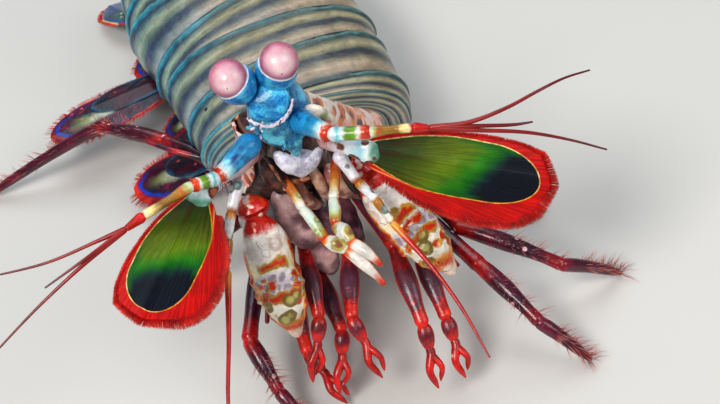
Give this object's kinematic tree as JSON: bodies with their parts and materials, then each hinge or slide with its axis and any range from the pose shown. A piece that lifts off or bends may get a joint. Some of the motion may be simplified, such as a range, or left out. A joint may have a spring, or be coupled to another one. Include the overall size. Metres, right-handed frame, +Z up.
{
  "type": "mantis shrimp model",
  "caption": "Life-size still model of a peacock mantis shrimp rearing up, head high, feelers and paddles spread, folded claws hanging, tail level behind.",
  "frame": {"origin": "centre of the footprint box, on the floor the feet and tail rest on", "axes": "+Y from head to tail, +Z up, +X towards the animal's left side"},
  "size_m": [0.1106, 0.1576, 0.0649],
  "materials": {
    "carapace": "satin shell, cream with brown leopard spots",
    "head": "satin azure shell with pale edges",
    "mouthparts": "satin, pale lavender lip over brown jaws",
    "eye": "polished pink cornea with fine facets",
    "eyestalk": "satin azure shell",
    "antennule": "satin shell banded blue, white, green and orange-red",
    "antenna": "satin shell banded white, brown and orange",
    "antennal_scale": "thin satin blade, green to navy with a red edge",
    "claw": "glossy white shell mottled orange-red and brown",
    "maxilliped": "satin translucent-looking red and plum shell",
    "leg": "satin dark maroon shell with red joints",
    "trunk": "satin shell banded olive, slate, beige and teal",
    "pleopod": "satin dark blade with blue and red edge",
    "telson": "satin olive shell with coloured teeth",
    "uropod": "satin blue-green blades with red edge"
  },
  "bodies": {
    "root": {"carapace": "carapace", "rostral_plate": "carapace", "head": "head", "mouthparts": "mouthparts", "eye_l": "eye", "eyestalk_l": "eyestalk", "antennule_l": "antennule", "antenna_l": "antenna", "antennal_scale_l": "antennal_scale", "claw_merus_l": "claw", "claw_carpus_l": "claw", "claw_propodus_l": "claw", "claw_dactyl_l": "claw", "maxilliped_1_l": "maxilliped", "maxilliped_3_l": "maxilliped", "maxilliped_4_l": "maxilliped", "maxilliped_5_l": "maxilliped", "leg_1_l": "leg", "leg_2_l": "leg", "leg_3_l": "leg", "pleopod_1_l": "pleopod", "pleopod_2_l": "pleopod", "pleopod_3_l": "pleopod", "pleopod_4_l": "pleopod", "pleopod_5_l": "pleopod", "uropod_l": "uropod", "eye_r": "eye", "eyestalk_r": "eyestalk", "antennule_r": "antennule", "antenna_r": "antenna", "antennal_scale_r": "antennal_scale", "claw_merus_r": "claw", "claw_carpus_r": "claw", "claw_propodus_r": "claw", "claw_dactyl_r": "claw", "maxilliped_1_r": "maxilliped", "maxilliped_3_r": "maxilliped", "maxilliped_4_r": "maxilliped", "maxilliped_5_r": "maxilliped", "leg_1_r": "leg", "leg_2_r": "leg", "leg_3_r": "leg", "pleopod_1_r": "pleopod", "pleopod_2_r": "pleopod", "pleopod_3_r": "pleopod", "pleopod_4_r": "pleopod", "pleopod_5_r": "pleopod", "uropod_r": "uropod", "thorax_5": "trunk", "thorax_6": "trunk", "thorax_7": "trunk", "thorax_8": "trunk", "abdomen_1": "trunk", "abdomen_2": "trunk", "abdomen_3": "trunk", "abdomen_4": "trunk", "abdomen_5": "trunk", "abdomen_6": "trunk", "telson": "telson"}
  },
  "joints": []
}
